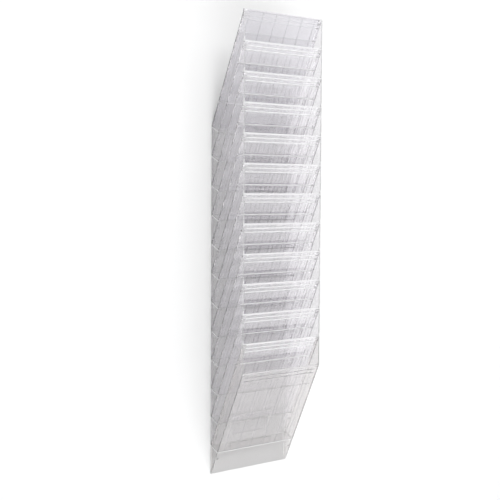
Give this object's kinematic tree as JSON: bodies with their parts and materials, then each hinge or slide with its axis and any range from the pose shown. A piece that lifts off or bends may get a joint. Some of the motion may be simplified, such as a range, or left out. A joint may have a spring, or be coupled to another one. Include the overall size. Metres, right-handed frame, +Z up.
{
  "type": "wall-hung magazine rack",
  "caption": "Tall, narrow wall-hung magazine rack of clear plastic, with leaning pockets that clip together in a stack and hang on two screwed wall brackets.",
  "frame": {"origin": "centre of the four wall-screw holes, on the wall plane", "axes": "+X across the rack, +Y into the wall, +Z up"},
  "size_m": [0.24, 0.129, 1.12],
  "materials": {
    "clear_polystyrene": "clear, glossy, faint grey-lilac tint",
    "bracket_plastic": "clear, glossy"
  },
  "bodies": {
    "root": {"top_back_panel": "clear_polystyrene", "pocket_tray_01": "clear_polystyrene", "pocket_tray_02": "clear_polystyrene", "pocket_tray_03": "clear_polystyrene", "pocket_tray_04": "clear_polystyrene", "pocket_tray_05": "clear_polystyrene", "pocket_tray_06": "clear_polystyrene", "pocket_tray_07": "clear_polystyrene", "pocket_tray_08": "clear_polystyrene", "pocket_tray_09": "clear_polystyrene", "pocket_tray_10": "clear_polystyrene", "pocket_tray_11": "clear_polystyrene", "pocket_tray_12": "clear_polystyrene", "wall_bracket_upper": "bracket_plastic", "wall_bracket_lower": "bracket_plastic"}
  },
  "joints": []
}
